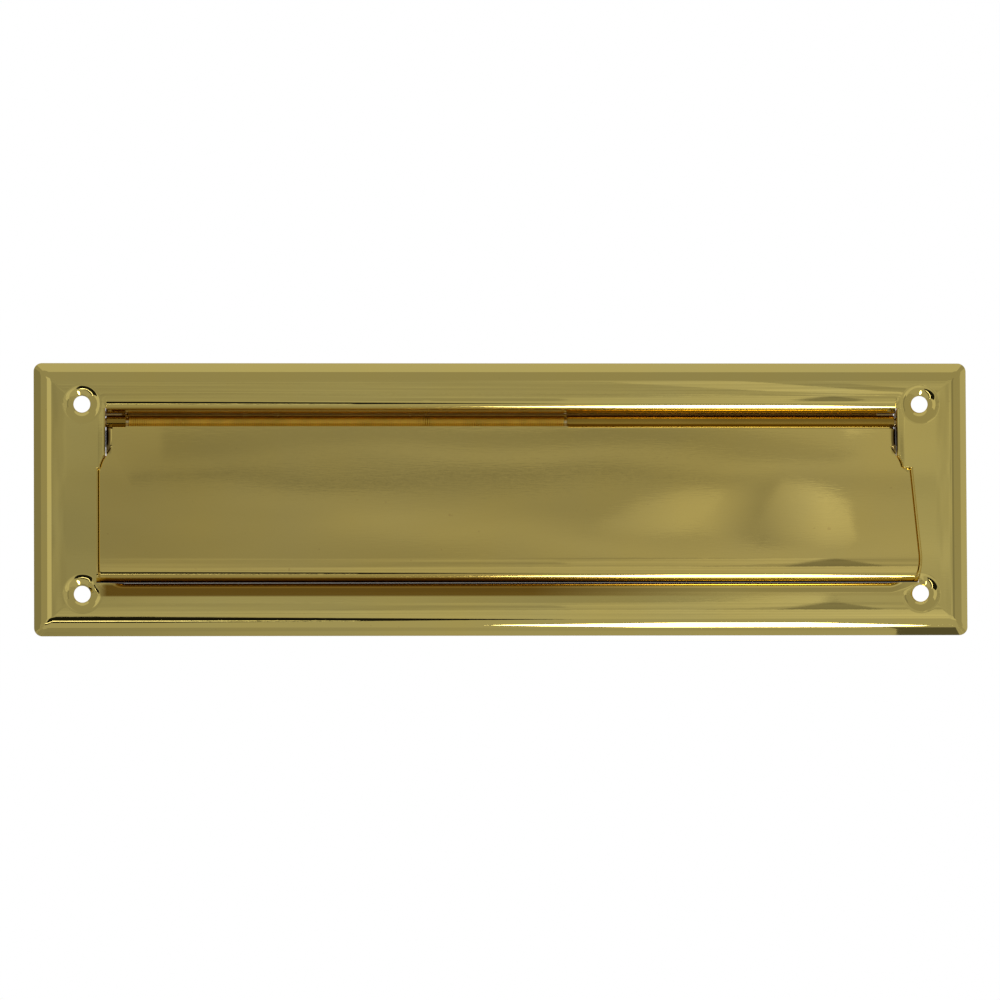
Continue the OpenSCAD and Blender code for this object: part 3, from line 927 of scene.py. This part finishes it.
def ramp(nodes, source, low, high, at_low=0, at_high=1):
    """Maps a value from low-high to at_low-at_high, held at both ends."""
    return nodes.add("ShaderNodeMapRange", clamp=True, Value=source, From_Min=low,
                     From_Max=high, To_Min=at_low, To_Max=at_high).outputs["Result"]


def ramp_mm(nodes, source, low, high, at_low=0, at_high=1):
    """The same for a coordinate, with low and high in millimetres."""
    return ramp(nodes, source, low * MM, high * MM, at_low, at_high)


def colour_mix(nodes, share, first, second):
    """Mixes two colours, each a tuple or another node's output."""
    made = nodes.add("ShaderNodeMix", data_type="RGBA")
    for key, value in (("A", first), ("B", second)):
        socket = [s for s in made.inputs if s.name == key and s.type == "RGBA"][0]
        if isinstance(value, tuple):
            socket.default_value = (*value, 1)
        else:
            nodes.link(value, socket)
    nodes.link(share, made.inputs["Factor"])
    return [s for s in made.outputs if s.type == "RGBA"][0]


def combined(nodes, operation, first, second):
    """Two values put through one operation."""
    made = nodes.add("ShaderNodeMath", operation=operation)
    nodes.link(first, made.inputs[0])
    nodes.link(second, made.inputs[1])
    return made.outputs[0]


def distance_from_middle(nodes, value):
    """A coordinate without its sign, so that both sides are treated alike."""
    return nodes.add("ShaderNodeMath", operation="ABSOLUTE", Value=value).outputs[0]


def painted_recess_shade(nodes):
    """1 deep inside the opening, and on its lips towards the left: where amber shade and
    brass-in-brass reflection are painted.
    """
    x, y, z = [coordinate(nodes, "Object", axis) for axis in "XYZ"]
    lips = combined(nodes, "MAXIMUM", ramp_mm(nodes, y, -4.1, -3.2),
                    ramp_mm(nodes, z, -29.5, -30.5))
    # Painted shade: the lips' painted amber fades out towards the right.
    lips = combined(nodes, "MULTIPLY", lips, ramp_mm(nodes, x, 10, 80, 1, 0.15))
    share = combined(nodes, "MAXIMUM", lips, ramp_mm(nodes, y, -1.7, -1.0))
    for value, edge, fade in ((x, 139.5, 3.6), (z, 34, 0.6)):
        away = distance_from_middle(nodes, value)
        share = combined(nodes, "MULTIPLY", share, ramp_mm(nodes, away, edge, edge + fade, 1, 0))
    return share


def on_back(nodes):
    """1 on the faces turned towards the door."""
    return ramp(nodes, coordinate(nodes, "Normal", "Y"), 0.3, 0.6)


def painted_ear_gap_shade(nodes):
    """1 in the narrow gaps beside the ears, where dark shade is painted."""
    z = coordinate(nodes, "Object", "Z")
    away = distance_from_middle(nodes, coordinate(nodes, "Object", "X"))
    share = ramp_mm(nodes, away, 137.6, 138.4, 0, 0.9)
    for limits in ((away, 139.9, 140.6, 1, 0), (z, 15.5, 17.5), (z, 23.5, 27, 1, 0)):
        share = combined(nodes, "MULTIPLY", share, ramp_mm(nodes, *limits))
    return share


def new_metal(name):
    """A material with a metal shader, its nodes and that shader."""
    material = bpy.data.materials.new(name)
    nodes = Nodes(material)
    shader = nodes.add("ShaderNodeBsdfPrincipled", Metallic=1.0)
    nodes.add("ShaderNodeOutputMaterial", Surface=shader.outputs["BSDF"])
    return material, nodes, shader


def polished_brass(name, light, dark):
    """Polished and lacquered brass: faint rolling lines, tarnish specks, soft waves.

    It is duller and paler on the backs. Inside the opening it carries painted shade and painted
    brass-in-brass reflection, darker and more amber, and beside the ears painted dark shade."""
    material, nodes, shader = new_metal(name)
    shader.inputs["Coat Weight"].default_value = 0.15
    shader.inputs["Coat Roughness"].default_value = 0.04
    cloud = noise(nodes, (1, 1, 1), 22, 3)
    grain = noise(nodes, (6, 60, 60), 40, 3, 0.6)
    specks = noise(nodes, (1, 1, 1), 420, 2)
    recess_shade = painted_recess_shade(nodes)
    back = on_back(nodes)
    tone = colour_mix(nodes, ramp(nodes, cloud, 0.35, 0.65), light, dark)
    tone = colour_mix(nodes, ramp(nodes, specks, 0.74, 0.80, 0, 0.35), tone, TARNISH)
    # Painted shade: amber for the recesses of the opening.
    amber = colour_mix(nodes, ramp(nodes, cloud, 0.3, 0.7), RECESS_SHADE_AMBER, DARK_RECESS_SHADE_AMBER)
    # Painted shade: browner on the lower lip's roll, under the flap's foot.
    sill_shade_share = ramp_mm(nodes, coordinate(nodes, "Object", "Z"), -28.5, -29.5, 0, 0.8)
    amber = colour_mix(nodes, sill_shade_share, amber, SILL_SHADE_BROWN)
    tone = colour_mix(nodes, recess_shade, tone, amber)
    tone = colour_mix(nodes, back, tone, BACK_BRASS)
    # Painted shade in the narrow gaps beside the ears.
    tone = colour_mix(nodes, painted_ear_gap_shade(nodes), tone, EAR_GAP_SHADE_BROWN)
    nodes.link(tone, shader.inputs["Base Color"])
    # The painted recess shade's share also makes the brass rougher there.
    raw = ramp(nodes, combined(nodes, "MAXIMUM", recess_shade, back), 0, 1, 0, 0.09)
    shine = combined(nodes, "ADD", raw, ramp(nodes, grain, 0.3, 0.7, 0.01, 0.03))
    nodes.link(shine, shader.inputs["Roughness"])
    waves = nodes.add("ShaderNodeBump", Strength=1.0, Distance=WAVE_HEIGHT,
                      Height=noise(nodes, (1, 1, 2.6), 9, 1, 0.4))
    lines = nodes.add("ShaderNodeBump", Strength=0.05, Distance=LINE_HEIGHT, Height=grain,
                      Normal=waves.outputs["Normal"])
    nodes.link(lines.outputs["Normal"], shader.inputs["Normal"])
    return material


def bright_steel(name, colour, roughness):
    """Plated steel with slight staining, which makes it darker and duller in places."""
    material, nodes, shader = new_metal(name)
    stain = noise(nodes, (1, 1, 1), 160, 4)
    darker = tuple(c * 0.7 for c in colour)
    tone = colour_mix(nodes, ramp(nodes, stain, 0.4, 0.7, 0, 0.7), colour, darker)
    nodes.link(tone, shader.inputs["Base Color"])
    nodes.link(ramp(nodes, stain, 0.3, 0.7, roughness, roughness * 1.8),
               shader.inputs["Roughness"])
    return material


# ---- Studio: floor, white surroundings, light cards and camera

def new_glow(name):
    """A white light-giving material, its nodes and its shader."""
    material = bpy.data.materials.new(name)
    nodes = Nodes(material)
    glow = nodes.add("ShaderNodeEmission", Color=(1, 1, 1, 1))
    nodes.add("ShaderNodeOutputMaterial", Surface=glow.outputs["Emission"])
    return material, nodes, glow


def even_glow(name, strength):
    """The same light all over."""
    material, nodes, glow = new_glow(name)
    glow.inputs["Strength"].default_value = strength
    return material


def graded_glow(name, left, right, span):
    """Light that changes from left to right across a span of x, in long soft streaks."""
    material, nodes, glow = new_glow(name)
    across = ramp(nodes, coordinate(nodes, "Object", "X"), *span, left, right)
    streaks = ramp(nodes, noise(nodes, (1, 6, 1), 4.5, 2, 0.45), 0.35, 0.65, 0.88, 1.14)
    nodes.link(combined(nodes, "MULTIPLY", across, streaks), glow.inputs["Strength"])
    return material


def direction(azimuth, elevation):
    """From the plate's middle towards a place in front of it, 1 long."""
    return Vector((sin(azimuth) * cos(elevation), -cos(azimuth) * cos(elevation), sin(elevation)))


def flat_stage(name, outline, material):
    """A flat face with the given corners in metres, which isn't part of the object."""
    mesh = bpy.data.meshes.new(name)
    mesh.from_pydata([(x, y, 0) for x, y in outline], [], [tuple(range(len(outline)))])
    mesh.materials.append(material)
    made = bpy.data.objects.new(name, mesh)
    bpy.context.scene.collection.objects.link(made)
    return made


def card(name, elevation, distance, outline, material, azimuth=0):
    """A flat card that faces the plate, out of the camera's sight.

    outline is its corners in metres, sideways and up."""
    e, a = radians(elevation), radians(azimuth)
    made = flat_stage(name, outline, material)
    made.location = direction(a, e) * distance
    made.rotation_euler = (radians(90) - e, 0, a)
    made.visible_camera = False


def oblong(x0, x1, height):
    """The outline of an upright rectangle from x0 to x1."""
    return [(x0, -height / 2), (x1, -height / 2), (x1, height / 2), (x0, height / 2)]


def either(nodes, share, first, second):
    """One shader where share is 0 and another where it is 1."""
    made = nodes.add("ShaderNodeMixShader", Fac=share)
    nodes.link(first.outputs[0], made.inputs[1])
    nodes.link(second.outputs[0], made.inputs[2])
    return made


def floor():
    """A pale floor well below the plate, as under a door; open to view from below."""
    material = bpy.data.materials.new("floor_paint")
    nodes = Nodes(material)
    paint = nodes.add("ShaderNodeBsdfPrincipled", Roughness=0.8)
    paint.inputs["Base Color"].default_value = (0.86, 0.86, 0.85, 1)
    lit = nodes.add("ShaderNodeEmission", Strength=0.62)
    both = nodes.add("ShaderNodeAddShader")
    nodes.link(paint.outputs["BSDF"], both.inputs[0])
    nodes.link(lit.outputs["Emission"], both.inputs[1])
    seen = nodes.add("ShaderNodeLightPath").outputs["Is Camera Ray"]
    under = nodes.add("ShaderNodeNewGeometry").outputs["Backfacing"]
    above = either(nodes, seen, paint, both)
    shader = either(nodes, under, above, nodes.add("ShaderNodeBsdfTransparent"))
    nodes.add("ShaderNodeOutputMaterial", Surface=shader.outputs["Shader"])
    made = flat_stage("floor", [(-9, -9), (9, -9), (9, 9), (-9, 9)], material)
    made.location = (0, 0, -1.5)


def surroundings():
    """White to the camera; to the brass a soft grey, lighter behind, dark dead behind."""
    world = bpy.data.worlds.new("studio")
    bpy.context.scene.world = world
    nodes = Nodes(world)
    white = nodes.add("ShaderNodeBackground", Strength=1.0, Color=(1, 1, 1, 1))
    behind = coordinate(nodes, "Generated", "Y")
    strength = combined(nodes, "MULTIPLY", ramp(nodes, behind, 0.3, 0.7, 0.3, 0.6),
                        ramp(nodes, behind, 0.92, 0.98, 1, 0.3))
    grey = nodes.add("ShaderNodeBackground", Strength=strength, Color=(1, 0.99, 0.97, 1))
    seen = nodes.add("ShaderNodeLightPath").outputs["Is Camera Ray"]
    shader = either(nodes, seen, grey, white)
    nodes.add("ShaderNodeOutputWorld", Surface=shader.outputs["Shader"])


def tapered(x0, x1, x2, low, high):
    """A band from x0 to x1 that narrows to a blunt tip at x2."""
    tip = 0.004
    return [(x0, low), (x1, low), (x2, -tip), (x2, tip), (x1, high), (x0, high)]


def sweep_cards():
    """Lighter and darker shapes in front, whose edges show as soft sweeps and streaks."""
    shapes = {
        "flap_sweep": (0.225, 0.258, 0.30, 0.50, [
            (0.221, 0.064), (0.266, 0.063), (0.276, 0.068), (0.271, 0.080), (0.262, 0.086),
            (0.249, 0.091), (0.236, 0.093)]),
        "flap_sweep_left": (0.135, 0.185, 0.34, 0.43, [
            (0.135, 0.069), (0.192, 0.070), (0.203, 0.083), (0.208, 0.090), (0.190, 0.092),
            (0.167, 0.087), (0.147, 0.079)]),
        "flap_sweep_gap": (0.195, 0.225, 0.43, 0.28, [
            (0.193, 0.070), (0.220, 0.065), (0.235, 0.093), (0.209, 0.091)]),
        "flap_shade": (0.08, 0.27, 0.26, 0.30, [
            (-0.07, 0.108), (0.12, 0.110), (0.26, 0.106), (0.28, 0.112), (0.20, 0.121),
            (-0.07, 0.120)]),
        "flap_streak": (0.08, 0.27, 0.20, 0.22, [
            (-0.09, 0.097), (0.10, 0.095), (0.24, 0.096), (0.10, 0.099), (-0.09, 0.100)]),
        "top_sweep": (0.08, 0.27, 0.36, 0.48, [
            (0.12, 0.38), (0.20, 0.38), (0.31, 0.14), (0.27, 0.12)]),
        "top_shade": (0.08, 0.27, 0.27, 0.31, [
            (0.20, 0.38), (0.24, 0.38), (0.33, 0.16), (0.31, 0.14)]),
        "low_sweep": (0.08, 0.27, 0.35, 0.46, [
            (0.12, 0.02), (0.26, 0.045), (0.24, -0.03), (0.14, -0.12)]),
        "low_shade": (0.08, 0.27, 0.25, 0.20, [
            (0.225, -0.11), (0.262, 0.035), (0.295, -0.11)]),
    }
    for number, (name, (x0, x1, left, right, shape)) in enumerate(shapes.items()):
        card(name, 0, 1.4 - 0.002 * number, shape,
             graded_glow(name, left, right, (x0, x1)))


def light_cards():
    """Soft boxes and dark boards, placed where the brass shows them."""
    box = [(0.27, -0.12), (0.22, -0.34), (0.16, -0.30), (0.07, -0.004), (0.07, 0.004),
           (0.16, 0.26), (0.22, 0.26), (0.27, -0.08)]
    graded = {
        "front_board": (6, 1.5, oblong(-1.2, 1.2, 0.5), 0.29, 0.36, (-0.2, 0.36)),
        "low_board": (-12, 1.3, oblong(-1.2, 1.2, 0.4), 0.36, 0.48, (-0.1, 0.3)),
        "under_board": (-92, 0.8, oblong(-0.9, 0.9, 0.7), 0.26, 0.34, (-0.15, 0.1)),
    }
    even = {
        "foot_board": (-44, 1.35, oblong(-1.2, 1.2, 1.5), 0.37, 0),
        "low_box": (-56, 1.1, box, 8.0, 0),
        "top_board": (86, 1.6, oblong(-1.3, 1.3, 1.2), 0.46, 0),
        "under_dark": (-88, 0.7, oblong(0.212, 0.26, 0.4), 0.09, 0),
        "low_dark": (-23, 1.0, tapered(-0.9, -0.09, 0.1, -0.29, 0.28), 0.01, 0),
        "left_low_strip": (-30, 0.95, tapered(-0.9, -0.12, 0.0, -0.022, 0.02), 3.0, 0),
        "left_strip": (0, 1.2, oblong(-0.24, 0.24, 0.9), 0.5, -33),
        "left_board": (0, 1.2, oblong(-0.3, 0.3, 1.2), 0.22, -92),
        "right_dark": (4, 1.1, oblong(-0.09, 0.09, 0.5), 0.22, 42),
        "right_board": (0, 1.2, oblong(-0.3, 0.3, 1.2), 0.42, 100),
    }
    for name, (elevation, distance, outline, left, right, span) in graded.items():
        card(name, elevation, distance, outline, graded_glow(name, left, right, span))
    for name, (elevation, distance, outline, strength, azimuth) in even.items():
        card(name, elevation, distance, outline, even_glow(name, strength), azimuth)


CAMERA_DISTANCE, CAMERA_AZIMUTH, CAMERA_ELEVATION = 3.5, radians(-4), radians(-3.5)
CAMERA_ASIDE = Vector((-0.0006, 0, -0.0002))
CAMERA_ROLL = radians(-0.27)
VIEW_WIDTH = 0.3527
SENSOR_WIDTH = 36


def camera():
    """A long lens, slightly left of the plate's middle and slightly below it."""
    data = bpy.data.cameras.new("camera")
    made = bpy.data.objects.new("camera", data)
    bpy.context.scene.collection.objects.link(made)
    back = direction(CAMERA_AZIMUTH, CAMERA_ELEVATION)
    made.location = back * CAMERA_DISTANCE + CAMERA_ASIDE
    made.rotation_mode = "QUATERNION"
    roll = Quaternion((0, 0, 1), CAMERA_ROLL)
    made.rotation_quaternion = (-back).to_track_quat("-Z", "Y") @ roll
    data.sensor_width = SENSOR_WIDTH
    data.lens = SENSOR_WIDTH * CAMERA_DISTANCE / VIEW_WIDTH
    data.clip_start, data.clip_end = 0.1, 100
    bpy.context.scene.camera = made


brass_plate = polished_brass("plate_brass", (0.915, 0.750, 0.235), (0.945, 0.755, 0.215))
brass_flap = polished_brass("flap_brass", (0.870, 0.685, 0.205), (0.905, 0.700, 0.190))
rod_steel = bright_steel("rod_steel", (0.80, 0.63, 0.30), 0.16)
# The spring wire's deep amber tone is partly its own brassy colour and partly painted reflection
# of the brass round it.
spring_steel = bright_steel("spring_wire", (1.0, 0.66, 0.10), 0.16)
nut_steel = bright_steel("retainer_steel", (0.66, 0.67, 0.69), 0.24)

front_plate(brass_plate)
flap(brass_flap)
hinge_rod(rod_steel)
spring(spring_steel)
push_nut(nut_steel, -1)
push_nut(nut_steel, 1)
floor()
surroundings()
light_cards()
sweep_cards()
camera()
bpy.context.scene.view_settings.view_transform = "Standard"
